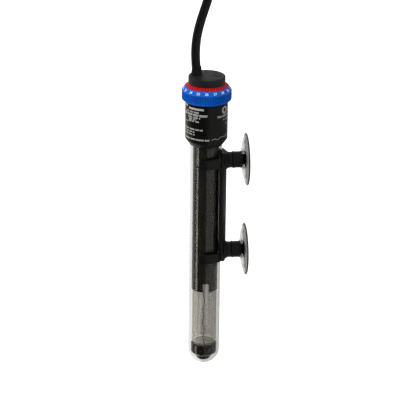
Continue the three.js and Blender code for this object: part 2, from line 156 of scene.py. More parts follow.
def blended(tree, factor, first, second):
    mix = put(tree, "ShaderNodeMix", data_type="RGBA")
    tree.links.new(factor, mix.inputs[0])
    mix.inputs[6].default_value = first
    mix.inputs[7].default_value = second
    return mix.outputs[2]


def bumped(tree, height, distance, strength=1.0):
    inputs = {"Height": height, "Distance": distance, "Strength": strength}
    return put(tree, "ShaderNodeBump", inputs).outputs["Normal"]


def surfaced(tree, inputs):
    """The principled surface that a material shows."""
    surface = put(tree, "ShaderNodeBsdfPrincipled", inputs)
    put(tree, "ShaderNodeOutputMaterial", {"Surface": surface.outputs[0]})


def moulded(name, colour, roughness, grain=1800, depth=0.02, mottle=0.12, patch=90, stretch=(1, 1, 1),
            spread=0.06, **sockets):
    """Moulded plastic, rubber or bare metal: faint mottling, uneven gloss and a fine surface grain.
    grain and patch are noise scales per metre, and depth is the grain's height in millimetres."""
    material, tree = blank(name)
    patches = noise(tree, patch, 4, stretch)
    rough = noise(tree, patch * GLOSS_SCALE, 5, stretch)
    inputs = {
        "Base Color": blended(tree, patches, shade(colour, 1 - mottle), shade(colour, 1 + mottle)),
        "Roughness": ranged(tree, rough, max(SMOOTHEST, roughness - spread), roughness + spread),
        "Normal": bumped(tree, noise(tree, grain, 2, stretch), depth * MM),
    }
    surfaced(tree, {**inputs, **sockets})
    return material


def see_through(name, tint, roughness, ior, ripple, ripple_scale, stretch=(1, 1, 1), **sockets):
    """Clear glass or vinyl that lets lamps light what is behind it. ripple is in millimetres."""
    material, tree = blank(name)
    inputs = {
        "Base Color": (*tint, 1),
        "Roughness": roughness,
        "IOR": ior,
        "Transmission Weight": 1.0,
        "Normal": bumped(tree, noise(tree, ripple_scale, 2, stretch), ripple * MM),
    }
    clear = put(tree, "ShaderNodeBsdfPrincipled", {**inputs, **sockets})
    open_way = put(tree, "ShaderNodeBsdfTransparent", {"Color": (*tint, 1)})
    lamp_ray = put(tree, "ShaderNodeLightPath").outputs["Is Shadow Ray"]
    mix = put(tree, "ShaderNodeMixShader", {0: lamp_ray, 1: clear.outputs[0], 2: open_way.outputs[0]})
    put(tree, "ShaderNodeOutputMaterial", {"Surface": mix.outputs[0]})
    return material


def woven(name, colour):
    """Hook and loop band: a fine woven ground under a short nap."""
    material, tree = blank(name)
    place = put(tree, "ShaderNodeTexCoord").outputs["Object"]
    nap = noise(tree, NAP_SCALE, 4)
    weave = {"Vector": place, "Scale": WEAVE_SCALE, "Distortion": 1.2}
    across = put(tree, "ShaderNodeTexWave", weave).outputs["Fac"]
    height = put(tree, "ShaderNodeMath", {0: nap, 1: across}, operation="ADD").outputs[0]
    inputs = {
        "Base Color": blended(tree, nap, shade(colour, 0.6), shade(colour, 1.7)),
        "Roughness": ranged(tree, nap, 0.75, 0.95),
        "Normal": bumped(tree, height, NAP_DEPTH * MM),
        "Sheen Weight": 0.3,
    }
    surfaced(tree, inputs)
    return material


satin = partial(moulded, **{"Specular IOR Level": 0.2})

# Settings of finishes: strong and no reflections seen face on, and noise drawn out along a piece.
STRONG_GLOSS = {"Specular IOR Level": 0.65}
NO_MIRROR = {"Specular Tint": (0.0, 0.0, 0.0, 1)}
ALONG_TUBE = (0.15, 1, 1)
DRAWN = (0.1, 1, 1)

FINISH = {
    "glass": see_through("drawn_glass", (0.93, 0.945, 0.93), roughness=0.0, ior=1.36, ripple=0.0004,
                         ripple_scale=25, stretch=(0.08, 1, 1), **NO_MIRROR),
    "housing_black": satin("housing_plastic", (0.004, 0.004, 0.0042), 0.33, depth=0.012),
    "label_black": satin("label_film", (0.003, 0.003, 0.003), 0.3, grain=700, depth=0.006),
    "print": moulded("label_print", (0.42, 0.42, 0.41), 0.5, grain=3000, depth=0.004, mottle=0.25,
                     patch=900),
    "cap_black": satin("cap_plastic", (0.013, 0.013, 0.0135), 0.5, grain=2600, depth=0.03),
    "dial_blue": satin("dial_plastic", (0.003, 0.105, 0.52), 0.34, depth=0.012, mottle=0.08),
    "numeral": moulded("numeral_paint", (0.8, 0.82, 0.85), 0.5, grain=3000, depth=0.006, mottle=0.05),
    "ring_red": satin("ring_plastic", (0.42, 0.008, 0.016), 0.36, depth=0.015),
    "rubber_black": satin("rubber", (0.005, 0.005, 0.005), 0.6, grain=3200, depth=0.02),
    "holder_black": satin("holder_plastic", (0.005, 0.005, 0.0052), 0.36, grain=2200, depth=0.015),
    "cup_clear": see_through("cup_vinyl", (0.7, 0.715, 0.7), roughness=0.08, ior=1.05, ripple=0.004,
                             ripple_scale=400),
    # Painted shade: a near-black finish on the clear cup's outer rim, standing in for the dark line its
    # edge shows.
    "cup_lip": satin("cup_lip", (0.03, 0.03, 0.03), 0.3, grain=900, depth=0.01, mottle=0.2),
    "sleeve_grey": moulded("sleeve_sheet", (0.008, 0.0068, 0.0048), 0.2, grain=900, depth=0.001,
                           spread=0.03, stretch=ALONG_TUBE, **STRONG_GLOSS),
    "former_cream": moulded("ceramic", (0.62, 0.57, 0.47), 0.4, grain=2400, depth=0.02),
    "quartz": moulded("frosted_quartz", (0.6, 0.57, 0.51), 0.3, grain=1500, mottle=0.08, Alpha=0.14),
    "winding": moulded("resistance_wire", (0.62, 0.6, 0.56), 0.5, Metallic=0.5),
    "end_black": moulded("end_plastic", (0.006, 0.0055, 0.005), 0.14, spread=0.03),
    "steel": moulded("steel", (0.55, 0.56, 0.57), 0.3, stretch=DRAWN, Metallic=1.0),
    "brass": moulded("brass", (0.7, 0.5, 0.2), 0.3, stretch=DRAWN, Metallic=1.0),
    "copper": moulded("copper", (0.72, 0.36, 0.2), 0.32, stretch=DRAWN, Metallic=1.0),
    "board_brown": moulded("laminate_board", (0.2, 0.1, 0.05), 0.5, grain=1200, depth=0.04,
                           stretch=(0.2, 1, 1)),
    "lamp_orange": moulded("lamp_glass", (0.9, 0.35, 0.1), 0.15),
    "wire_brown": moulded("brown_insulation", (0.15, 0.06, 0.03), 0.45),
    "wire_blue": moulded("blue_insulation", (0.08, 0.22, 0.6), 0.45),
    "wire_dark": moulded("oxidised_wire", (0.06, 0.055, 0.05), 0.45),
    "cord_black": satin("cord_sheath", (0.005, 0.005, 0.0053), 0.42, grain=2000, depth=0.02,
                        stretch=(0.3, 1, 1)),
    "tie_black": woven("tie_weave", (0.012, 0.012, 0.013)),
    "plug_black": moulded("plug_plastic", (0.007, 0.007, 0.007), 0.42, grain=2400, depth=0.03),
}


# ---- shapes ----

EDGE_SHARE = 0.48  # the most of an edge that one fillet takes
TINY = 1e-6


def filleted(corners, closed=False, steps=5):
    """An outline whose corners are (radius, z) or (radius, z, fillet), with the fillets drawn."""
    outline = []
    for i, corner in enumerate(corners):
        here = Vector(corner[:2])
        fillet = corner[2] if len(corner) > 2 else 0
        if not fillet or (not closed and i in (0, len(corners) - 1)):
            outline.append(here)
            continue
        before = Vector(corners[i - 1][:2]) - here
        after = Vector(corners[(i + 1) % len(corners)][:2]) - here
        half = before.angle(after) / 2
        reach = min(fillet / math.tan(half), EDGE_SHARE * before.length, EDGE_SHARE * after.length)
        before.normalize()
        after.normalize()
        centre = here + (before + after).normalized() * reach / math.cos(half)
        start = here + before * reach - centre
        end = here + after * reach - centre
        for step in range(steps + 1):
            turn = start.lerp(end, step / steps).normalized()
            outline.append(centre + turn * start.length)
    return outline


def around(radius, angle, z):
    """The point at an angle on a circle round the tube's axis."""
    return (radius * math.cos(angle), radius * math.sin(angle), z)


def lathe(outline, segments, closed=False, radius_at=None):
    """An outline turned about z. radius_at(radius, z, angle) may shape the radius."""
    points, rings, faces = [], [], []
    for radius, z in outline:
        ring = []
        for i in range(1 if radius < TINY else segments):
            angle = math.tau * i / segments
            shaped = radius_at(radius, z, angle) if radius_at else radius
            ring.append(len(points))
            points.append(around(shaped, angle, z))
        rings.append(ring)
    pairs = list(zip(rings, rings[1:])) + ([(rings[-1], rings[0])] if closed else [])
    for low, high in pairs:
        for i in range(segments):
            j = (i + 1) % segments
            corners = [low[i % len(low)], low[j % len(low)], high[j % len(high)], high[i % len(high)]]
            corners = list(dict.fromkeys(corners))
            if len(corners) > 2:
                faces.append(corners)
    return points, faces


def joined(*shapes):
    """Several (points, faces) as one."""
    points, faces = [], []
    for more_points, more_faces in shapes:
        faces += [[i + len(points) for i in face] for face in more_faces]
        points += more_points
    return points, faces


def moved(shape, change):
    points, faces = shape
    return [change(*point) for point in points], faces


def along_x(shape, height):
    """A shape turned about z, laid along +x at that height on the tube."""
    return moved(shape, lambda x, y, z: (z, y, height - x))


def loft(sections, closed=False):
    """Skin over loops with as many points each, capped at its ends or closed into a ring."""
    count = len(sections[0])
    points = [point for section in sections for point in section]
    last = (len(sections) - 1) * count
    faces = [] if closed else [list(range(count)), [last + k for k in range(count)]]
    for low in range(0, last + count if closed else last, count):
        high = (low + count) % len(points)
        for k in range(count):
            j = (k + 1) % count
            faces.append([low + k, low + j, high + j, high + k])
    return points, faces


def tube_shape(path, radius, sides):
    """Closed round tube along a list of points."""
    path = [Vector(point) for point in path]
    sections = []
    side = Vector((0, 0, 1))
    for i, here in enumerate(path):
        ahead = (path[min(i + 1, len(path) - 1)] - path[max(i - 1, 0)]).normalized()
        side = (side - ahead * side.dot(ahead)).normalized()
        other = ahead.cross(side)
        section = []
        for k in range(sides):
            angle = math.tau * k / sides
            out = side * math.cos(angle) + other * math.sin(angle)
            section.append(tuple(here + out * radius))
        sections.append(section)
    return loft(sections)


def curved_plate(inner, outer, bottom, top, half_angle, corner, edge, columns=72, rows=40):
    """Part of a tube wall centred on +x, with rounded corners and rounded edges. half_angle is in
    degrees, and corner and edge are radii in millimetres."""
    middle = (inner + outer) / 2
    reach = math.radians(half_angle) * middle
    half_height = (top - bottom) / 2
    heights = [-math.cos(math.pi * i / rows) * half_height for i in range(rows + 1)]
    sheets = []
    for side in (-1, 1):
        sheet = []
        for height in heights:
            past = max(0, corner - (half_height - abs(height)))
            width = reach - corner + math.sqrt(max(0, corner * corner - past * past))
            line = []
            for k in range(columns + 1):
                across = -math.cos(math.pi * k / columns) * width
                gap = min(half_height - abs(height), width - abs(across), edge)
                drop = edge - math.sqrt(max(0, edge * edge - (edge - gap) ** 2))
                radius = middle + side * ((outer - inner) / 2 - drop)
                line.append(around(radius, across / middle, height + bottom + half_height))
            sheet.append(line)
        sheets.append(sheet)
    points = [point for sheet in sheets for line in sheet for point in line]
    size = (rows + 1) * (columns + 1)
    faces = []

    def index(sheet, i, k):
        return sheet * size + i * (columns + 1) + k

    for sheet in (0, 1):
        for i in range(rows):
            for k in range(columns):
                corners = [(i, k), (i, k + 1), (i + 1, k + 1), (i + 1, k)]
                faces.append([index(sheet, *corner_of) for corner_of in corners])
    rim = [(0, k) for k in range(columns)] + [(i, columns) for i in range(rows)]
    rim += [(rows, k) for k in range(columns, 0, -1)] + [(i, 0) for i in range(rows, 0, -1)]
    for here, after in zip(rim, rim[1:] + rim[:1]):
        faces.append([index(0, *here), index(0, *after), index(1, *after), index(1, *here)])
    return points, faces


def toothed_ring(outer, tip, root, tip_half, root_half, count, bottom, top):
    """Ring with straight-sided teeth on its inside, a space on +x."""
    pitch = math.tau / count
    inside = []
    for tooth in range(count):
        middle = (tooth + 0.5) * pitch
        tooth_sides = ((root, -root_half), (tip, -tip_half), (tip, tip_half), (root, root_half))
        for radius, half in tooth_sides:
            inside.append((radius, middle + half / radius))
    outside = [(outer, angle) for _, angle in inside]
    loops = []
    for wall, z in ((inside, bottom), (outside, bottom), (outside, top), (inside, top)):
        loops.append([around(radius, angle, z) for radius, angle in wall])
    return loft(loops, closed=True)


WELD = 1e-7
SHARP = 32  # degrees, the angle past which an edge is drawn sharp


def smoothed(mesh, sharp=SHARP):
    """Smooth shading, but for edges past an angle."""
    mesh.polygons.foreach_set("use_smooth", [True] * len(mesh.polygons))
    mesh.set_sharp_from_angle(angle=math.radians(sharp))


def make(name, shape, finish, body, nodes=(), place=row, sharp=SHARP):
    """A mesh piece that rides on a body and stands for some CAD nodes."""
    points, faces = shape
    mesh = bpy.data.meshes.new(name)
    mesh.from_pydata([place(*point) for point in points], [], faces)
    shaped = bmesh.new()
    shaped.from_mesh(mesh)
    bmesh.ops.remove_doubles(shaped, verts=shaped.verts, dist=WELD)
    bmesh.ops.recalc_face_normals(shaped, faces=shaped.faces)
    shaped.to_mesh(mesh)
    shaped.free()
    smoothed(mesh, sharp)
    mesh.materials.append(FINISH[finish])
    piece = added(name, mesh)
    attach(piece, body)
    if nodes:
        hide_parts(*nodes)
    return piece


def evaluated_mesh(piece):
    """A piece's mesh as its modifiers leave it."""
    bpy.context.view_layer.update()
    graph = bpy.context.evaluated_depsgraph_get()
    return bpy.data.meshes.new_from_object(piece.evaluated_get(graph))


def united(piece, *others):
    """Joins other mesh pieces into the first, as one skin, and removes them."""
    for other in others:
        union = piece.modifiers.new("union", "BOOLEAN")
        union.operation = "UNION"
        union.solver = "EXACT"
        union.object = other
        whole = evaluated_mesh(piece)
        piece.modifiers.clear()
        piece.data = whole
        bpy.data.objects.remove(other)
    smoothed(piece.data)


# ---- free lead ----

CORD_R = 0.0035
HANK_NEAR = 0.2535  # centres of the hank's end folds along X
HANK_FAR = 0.3315
OUTER = 0.028  # the two columns of the hank, as fold radii
INNER = 0.021
LEVELS = (0.0046, 0.0116, 0.0186)  # its three layers
TIE_X = 0.2925

LEAD = [
    (0.119, 0, 0.0403), (0.123, 0, 0.0404), (0.131, 0, 0.041), (0.139, 0, 0.0413), (0.148, 0, 0.0408),
    (0.156, 0, 0.0395), (0.164, 0.0001, 0.0375), (0.172, 0.0005, 0.035), (0.18, 0.0014, 0.0323),
    (0.188, 0.0029, 0.0298), (0.196, 0.0051, 0.0275), (0.205, 0.0083, 0.0252), (0.214, 0.0123, 0.0231),
    (0.222, 0.0162, 0.0215), (0.2305, 0.0201, 0.0202), (0.239, 0.0238, 0.0192), (0.246, 0.0264, 0.0187),
]
TAIL = [
    (0.2535, -0.021, 0.026), (0.243, -0.0184, 0.0261), (0.235, -0.0112, 0.0266), (0.2323, 0, 0.0275),
    (0.2352, 0.0113, 0.0286), (0.2415, 0.0183, 0.0295), (0.2475, 0.021, 0.0299), (0.2535, 0.0215, 0.03),
    (0.258, 0.0215, 0.03),
]


def eased(start, end, share):
    return start + (end - start) * share * share * (3 - 2 * share)


RUN_POINTS = 8  # route points of each straight run and each end fold
FOLD_POINTS = 14


def fold(centre, start, radius, first, last):
    """Half a turn of the lead round one end of the hank, from one height to another."""
    points = []
    for i in range(FOLD_POINTS):
        angle = start - math.pi * i / FOLD_POINTS
        level = eased(first, last, i / FOLD_POINTS)
        points.append((centre + radius * math.cos(angle), radius * math.sin(angle), level))
    return points


def hank_points():
    """Five turns round the two fold centres: down the outer column, then up the inner one."""
    low, middle, high = LEVELS
    length = HANK_FAR - HANK_NEAR
    turns = [
        (OUTER, OUTER, high, middle, middle),
        (OUTER, OUTER, middle, low, low),
        (OUTER, INNER, low, low, middle),
        (INNER, INNER, middle, middle, high),
        (INNER, INNER, high, high, None),
    ]
    points = []
    for start_radius, radius, out_level, back_level, next_level in turns:
        for i in range(RUN_POINTS):
            share = i / RUN_POINTS
            points.append((HANK_NEAR + length * share, eased(start_radius, radius, share), out_level))
        points += fold(HANK_FAR, math.pi / 2, radius, out_level, back_level)
        for i in range(RUN_POINTS):
            share = i / RUN_POINTS
            level = back_level if next_level else eased(back_level, TAIL[0][2], max(0, 2 * share - 1))
            points.append((HANK_FAR - length * share, -radius, level))
        if next_level:
            points += fold(HANK_NEAR, -math.pi / 2, radius, back_level, next_level)
    return points


def smooth_path(points, per_span=5):
    """Points of a Catmull-Rom curve through a list of points."""
    points = [Vector(point) for point in points]
    ends = [points[0] * 2 - points[1]] + points + [points[-1] * 2 - points[-2]]
    path = []
    for a, b, c, d in zip(ends, ends[1:], ends[2:], ends[3:]):
        for step in range(per_span):
            t = step / per_span
            path.append(0.5 * (2 * b + (c - a) * t + (2 * a - 5 * b + 4 * c - d) * t * t
                               + (3 * b - a - 3 * c + d) * t ** 3))
    path.append(points[-1])
    return path


def make_cord():
    path = smooth_path(LEAD + hank_points() + TAIL)
    data = bpy.data.curves.new("mains_lead", "CURVE")
    data.dimensions = "3D"
    data.bevel_depth = CORD_R
    data.bevel_resolution = 7
    data.use_fill_caps = True
    spline = data.splines.new("POLY")
    spline.points.add(len(path) - 1)
    for point, place in zip(spline.points, path):
        point.co = (*place, 1)
    data.materials.append(FINISH["cord_black"])
    cord = added("mains_lead", data)
    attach(cord, "heater")
    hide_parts("cord_lead", "cord_hank", "cord_tail")
    return cord


BAND_WIDTH = 0.012
BAND_GAP = 0.0001  # between the cords and the band
BAND_OUT = 0.0009
FLAP_IN = 0.00095  # the loose end, wrapped over the band between two angles
FLAP_OUT = 0.0017
FLAP_START = math.radians(20)
FLAP_END = math.radians(165)
BAND_EDGE = 0.00025


def make_tie():
    """Hook and loop band drawn round the five cords on the -Y side of the hank."""
    low, middle, high = LEVELS
    centres = [(-OUTER, low), (-OUTER, middle), (-INNER, low), (-INNER, middle), (-INNER, high)]
    centres = [Vector(centre) for centre in centres]
    half = BAND_WIDTH / 2

    def ring(radius, start, end, steps):
        loop = []
        for i in range(steps):
            angle = start + (end - start) * i / steps
            out = Vector((math.cos(angle), math.sin(angle)))
            loop.append(max(centres, key=lambda centre: centre.dot(out)) + out * radius)
        return loop

    def band(inner, outer, start, end, steps, shut):
        inside = ring(inner, start, end, steps)
        outside = ring(outer, start, end, steps)
        sections = []
        for near, far in zip(inside, outside):
            corners = [(-half, near), (half, near), (half, far), (-half, far)]
            sections.append([(TIE_X + x, place.x, place.y) for x, place in corners])
        return loft(sections, shut)

    loop = band(CORD_R + BAND_GAP, CORD_R + BAND_OUT, 0, math.tau, 120, True)
    flap = band(CORD_R + FLAP_IN, CORD_R + FLAP_OUT, FLAP_START, FLAP_END, 60, False)
    tie = make("tie_strap", joined(loop, flap), "tie_black", "heater", ["cord_tie"],
               place=lambda *point: Vector(point))
    bevel = tie.modifiers.new("edges", "BEVEL")
    bevel.width = BAND_EDGE
    bevel.segments = 2
    return tie


RELIEF_LENGTH = 15
RELIEF_R = (4.1, 5.6)  # at the lead and at the plug
RELIEF_RIBS = 5
GRIP_RIBS = 6
PLUG_HALF = (11, 7.5)
# The plug's sections, as a share of its length, half the width, half the height and a squareness.
PLUG_BACK = [(0.0, 6.2, 5.9, 2.1), (0.06, 8.4, 6.9, 2.6), (0.14, 10.0, 7.3, 3.2), (0.24, 10.8, 7.5, 4)]
PLUG_FRONT = [(0.76, 11, 7.5, 5), (0.96, 11, 7.5, 5), (0.985, 10.85, 7.35, 5), (1.0, 10.4, 6.9, 5)]


def make_plug():
    """Two-blade plug with a ribbed strain relief and finger grips, lying on the hank."""
    low, high = (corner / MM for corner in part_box("plug_body"))
    centre = (low + high) / 2
    relief_end = low.x + RELIEF_LENGTH
    sections = []

    def section(x, half_width, half_height, power):
        loop = []
        for k in range(64):
            angle = math.tau * k / 64
            c, s = math.cos(angle), math.sin(angle)
            loop.append((
                x,
                centre.y + half_width * math.copysign(abs(c) ** (2 / power), c),
                centre.z + half_height * math.copysign(abs(s) ** (2 / power), s),
            ))
        sections.append(loop)

    for i in range(31):
        share = i / 30
        groove = 0.45 * max(0, math.sin(share * RELIEF_RIBS * math.tau)) if share < 0.95 else 0
        radius = RELIEF_R[0] + (RELIEF_R[1] - RELIEF_R[0]) * share - groove
        section(low.x + RELIEF_LENGTH * share, radius, radius, 2)
    grips = []
    for i in range(25):
        pinch = 0.4 + 0.35 * math.cos(i / 24 * GRIP_RIBS * math.tau)
        grips.append((0.3 + 0.4 * i / 24, PLUG_HALF[0] - pinch, PLUG_HALF[1], 4.5))
    for share, half_width, half_height, power in [*PLUG_BACK, *grips, *PLUG_FRONT]:
        section(relief_end + (high.x - relief_end) * share, half_width, half_height, power)
    skin = loft(sections)
    body = make("plug_moulding", skin, "plug_black", "heater", ["plug_body"], place=row_mm, sharp=50)
    blades = [make_blade(f"plug_blade_{number}") for number in (1, 2)]
    return [body, *blades]


HOLE_BACK = 4.5  # from a blade's tip to the middle of its locking hole
HOLE_R = 1.5
TIP_LENGTH = 2.4
TIP_NARROWING = 0.42
BLADE_EDGE = 0.25
FAR = 99  # farther than any edge of a blade


def make_blade(node):
    """Flat brass blade with a rounded tip and a locking hole."""
    low, high = (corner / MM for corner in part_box(node))
    hole = Vector((high.x - HOLE_BACK, (low.z + high.z) / 2))
    half = (high.z - low.z) / 2
    outline, bore = [], []
    for k in range(48):
        angle = math.tau * k / 48
        out = Vector((math.cos(angle), math.sin(angle)))
        ahead = (high.x - hole.x) / out.x if out.x > TINY else FAR
        behind = (low.x - hole.x) / out.x if out.x < -TINY else FAR
        aside = half / abs(out.y) if abs(out.y) > TINY else FAR
        edge = hole + out * min(ahead, behind, aside)
        tip = max(0, edge.x - (high.x - TIP_LENGTH))
        edge.y = hole.y + (edge.y - hole.y) * (1 - TIP_NARROWING * (tip / TIP_LENGTH) ** 2)
        outline.append(edge)
        bore.append(hole + out * HOLE_R)
    loops = []
    edge = BLADE_EDGE
    for inset, y in ((edge, low.y), (0, low.y + edge), (0, high.y - edge), (edge, high.y)):
        loop = []
        for place in outline:
            x = place.x - math.copysign(inset, place.x - hole.x)
            loop.append((x, y, place.y - math.copysign(inset, place.y - hole.y)))
        loops.append(loop)
    for y in (high.y, low.y):
        loops.append([(place.x, y, place.y) for place in bore])
    name = node.replace("blade", "pin")
    return make(name, loft(loops, closed=True), "brass", "heater", [node], place=row_mm, sharp=40)


# ---- head ----

GLASS_R = 12.5
GLASS_INNER_R = 11.2
GLASS_TOP = 212.5
GLASS_RIM = 0.4
NECK_R = 12.8
HOUSING_R = 16.1
HOUSING_BOTTOM = 187.6
HOUSING_TOP = 222.5
BORE_R = 14.4
BORE_BOTTOM = 205
LABEL_R = 16.58
LABEL_INNER_R = 16.35
LABEL_BOTTOM = 192.6
LABEL_TOP = 222


def make_glass():
    """Tube with a round closed end, drawn up its outside, over its rim and down its inside."""
    def side(radius):
        points = []
        for i in range(25):
            angle = math.radians(-90 + 90 * i / 24)
            out = radius * math.cos(angle)
            points.append((out if out > 1e-4 else 0, GLASS_R + radius * math.sin(angle)))
        return points + [(radius, z) for z in (80, 150, GLASS_TOP - GLASS_RIM)]

    rim = [(GLASS_R - GLASS_RIM, GLASS_TOP), (GLASS_INNER_R + GLASS_RIM, GLASS_TOP)]
    wall = side(GLASS_R) + rim + side(GLASS_INNER_R)[::-1]
    make("heater_glass", lathe(wall, 160), "glass", "heater", ["glass_tube"])


def make_housing():
    outline = filleted([
        (NECK_R, HOUSING_BOTTOM), (13.05, HOUSING_BOTTOM, 0.12), (15.85, 191.6, 0.8),
        (HOUSING_R, 192.8, 0.5), (HOUSING_R, HOUSING_TOP, 0.3), (BORE_R, HOUSING_TOP, 0.2),
        (BORE_R, BORE_BOTTOM, 0.2), (NECK_R, BORE_BOTTOM, 0.2),
    ], closed=True)
    make("head_shell", lathe(outline, 160, closed=True), "housing_black", "heater", ["head_housing"])
    outline = filleted([
        (LABEL_INNER_R, LABEL_BOTTOM, 0.05), (LABEL_R, LABEL_BOTTOM, 0.08),
        (LABEL_R, LABEL_TOP, 0.08), (LABEL_INNER_R, LABEL_TOP, 0.05),
    ], closed=True, steps=2)
    make("label_film", lathe(outline, 160, closed=True), "label_black", "heater", ["label_wrap"])


PRINT_LIFT = 0.03
LETTER = (1.4, 2.6)
LETTER_GAP = 0.75
WORD = (5, 13)
WORD_GAP = 3.2
# Solid bars: bottom, top and the angles in degrees between which a bar runs.
BARS = [(219.3, 220.9, -151, -104), (220.6, 222.0, -176, -157)]
# Rows of small blocks: middle, height, the angles a row runs between, and its own words and gaps.
ROWS = [
    (217.4, 1.3, -160, -118, (7, 16)),
    (215.2, 1.9, -174, -92, (14, 24), 2.4),
    (213.0, 1.3, -154, -114, (8, 18)),
    (211.4, 1.1, -151, -122, (8, 14)),
    (209.9, 1.1, -152, -116, (8, 14)),
    (208.8, 0.9, -178, -152),
    (203.4, 1.2, -178, -106, (8, 18), 2.6),
    (201.2, 1.0, -182, -130),
    (199.1, 1.2, -180, -126),
    (195.4, 1.3, -168, -88, (12, 24), 2.2),
    (213.6, 1.7, -66, 30, (10, 20), 2.6),
    (210.6, 1.0, -46, 20),
    (206.6, 0.8, -34, 24),
    (218.5, 0.9, 60, 160),
    (213, 0.9, 70, 150),
    (206, 0.8, 60, 155),
    (198, 0.8, 66, 148),
]
DISC_ANGLES = (-40, -16)
DISC_HEIGHT = 218.2
DISC_R = 3.1
DISC_INNER_R = 1.6
WAVE_START = -82
WAVE_TURN = 54
WAVE_BOTTOM = 195.4
WAVE_RISE = 2.0
WAVE_HEIGHT = 0.6
WAVE_R = 16.6
WAVE_HALF_WIDTH = 0.17


def patch(bottom, top, start, end):
    """Thin curved rectangle of print on the label, between two angles in degrees."""
    steps = max(2, math.ceil((end - start) / 2))
    outer = LABEL_R + PRINT_LIFT
    loops = []
    for i in range(steps + 1):
        angle = math.radians(start + (end - start) * i / steps)
        corners = [(LABEL_R, bottom), (outer, bottom), (outer, top), (LABEL_R, top)]
        loops.append([around(out, angle, z) for out, z in corners])
    return loft(loops)


def print_row(rng, middle, height, start, end, word=WORD, gap=WORD_GAP):
    """Blocks the size of letters, in words, too small and plain to say anything."""
    blocks = []
    at = start
    while at < end - 2:
        stop = min(end, at + rng.uniform(*word))
        inner = at
        while inner < stop - 0.8:
            width = rng.uniform(*LETTER)
            lift = rng.uniform(-0.12, 0.12) * height
            bottom = middle - height / 2 + max(0, lift)
            top = middle + height / 2 + min(0, lift)
            blocks.append(patch(bottom, top, inner, min(stop, inner + width)))
            inner += width + LETTER_GAP
        at = stop + gap
    return blocks


def disc_mark(angle):
    """Ring of print round a point of the label."""
    loops = []
    inner, outer = DISC_INNER_R, DISC_R
    for out, size in ((0, inner), (PRINT_LIFT, inner), (PRINT_LIFT, outer), (0, outer)):
        radius = LABEL_R + out
        loop = []
        for k in range(48):
            turn = math.tau * k / 48
            place = math.radians(angle) + size * math.cos(turn) / LABEL_R
            loop.append(around(radius, place, DISC_HEIGHT + size * math.sin(turn)))
        loops.append(loop)
    return loft(loops, closed=True)


def make_label_print():
    """Bars, rows of small blocks, a wavy line and two plain rings where a label has its print."""
    rng = random.Random(7)
    shapes = [patch(*bar) for bar in BARS]
    for printed in ROWS:
        shapes += print_row(rng, *printed)
    wave = []
    for i in range(60):
        share = i / 59
        angle = math.radians(WAVE_START + WAVE_TURN * share)
        z = WAVE_BOTTOM + WAVE_RISE * share + WAVE_HEIGHT * math.sin(share * 4.4 * math.pi)
        wave.append(around(WAVE_R, angle, z))
    shapes.append(tube_shape(wave, WAVE_HALF_WIDTH, 6))
    shapes += [disc_mark(angle) for angle in DISC_ANGLES]
    make("label_print", joined(*shapes), "print", "heater")


DIAL_R = 19.35
DIAL_BORE_R = 16.5
DIAL_BOTTOM = 222.8
DIAL_TOP = 234.9
SLOPE = ((DIAL_R, 231.6), (16.85, DIAL_TOP))  # the face that carries the numerals
RIBS = 96
RIB_DEPTH = 0.75
GRIP = (224.7, 231.6)  # heights between which the dial is ribbed
GRIP_FADE = 0.5


def divided(outline, parts, chosen):
    """A closed outline whose chosen stretches are cut in parts."""
    fine = []
    for here, after in zip(outline, outline[1:] + outline[:1]):
        fine.append(here)
        if chosen(here, after):
            fine += [here.lerp(after, step / parts) for step in range(1, parts)]
    return fine


def make_dial():
    outline = filleted([
        (DIAL_BORE_R, DIAL_BOTTOM, 0.1), (16.7, DIAL_BOTTOM, 0.1), (19.2, 224.45, 0.5),
        (DIAL_R, 225.2, 0.4), (*SLOPE[0], 0.35), (*SLOPE[1], 0.15), (DIAL_BORE_R, DIAL_TOP, 0.1),
    ], closed=True)
    fine = divided(outline, 12, lambda here, after: min(here.x, after.x) > 19 and after.y - here.y > 1)

    def ribbed(radius, z, angle):
        if radius < 18.5:
            return radius
        fade = min(1, max(0, (z - GRIP[0]) / GRIP_FADE), max(0, (GRIP[1] - z) / GRIP_FADE))
        return radius - RIB_DEPTH * fade * (0.5 - 0.5 * math.cos(RIBS * angle))

    shell = lathe(fine, RIBS * 8, closed=True, radius_at=ribbed)
    gear = toothed_ring(outer=17.5, tip=14.1, root=16.2, tip_half=0.35, root_half=0.75, count=30,
                        bottom=223.7, top=230.9)
    make("dial_wheel", joined(shell, gear), "dial_blue", "dial", ["temperature_dial"], sharp=60)


NUMERALS = range(18, 35)
NUMERAL_SIZE = 2.8
NUMERAL_THICKNESS = 0.03
NUMERAL_LIFT = 0.02
MIDDLE_NUMERAL = 8  # the one that stands at MIDDLE_ANGLE
MIDDLE_ANGLE = -96.9


def glyphs(text, size):
    """Points and faces of a short piece of text, centred on the origin, in millimetres."""
    data = bpy.data.curves.new(text, "FONT")
    data.body = text
    data.size = size
    data.align_x = "CENTER"
    data.align_y = "CENTER"
    data.extrude = NUMERAL_THICKNESS
    data.offset = NUMERAL_THICKNESS
    data.resolution_u = 3
    source = added(text, data)
    mesh = evaluated_mesh(source)
    points = [tuple(vertex.co) for vertex in mesh.vertices]
    faces = [list(face.vertices) for face in mesh.polygons]
    bpy.data.objects.remove(source)
    return points, faces


def make_numerals():
    """The temperatures in degrees Celsius, painted on the dial's upper slope."""
    bottom, top = Vector(SLOPE[0]), Vector(SLOPE[1])
    slope = (top - bottom).normalized()
    out = Vector((slope.y, -slope.x))
    middle = bottom.lerp(top, 0.5)
    shapes = []
    for i, number in enumerate(NUMERALS):
        centre = math.radians(MIDDLE_ANGLE + 360 * (i - MIDDLE_NUMERAL) / len(NUMERALS))

        def on_slope(x, y, z):
            place = middle + slope * y + out * (z + NUMERAL_LIFT)
            angle = centre + x / middle.x
            return around(place.x, angle, place.y)

        shapes.append(moved(glyphs(str(number), NUMERAL_SIZE), on_slope))
    make("dial_numerals", joined(*shapes), "numeral", "dial")


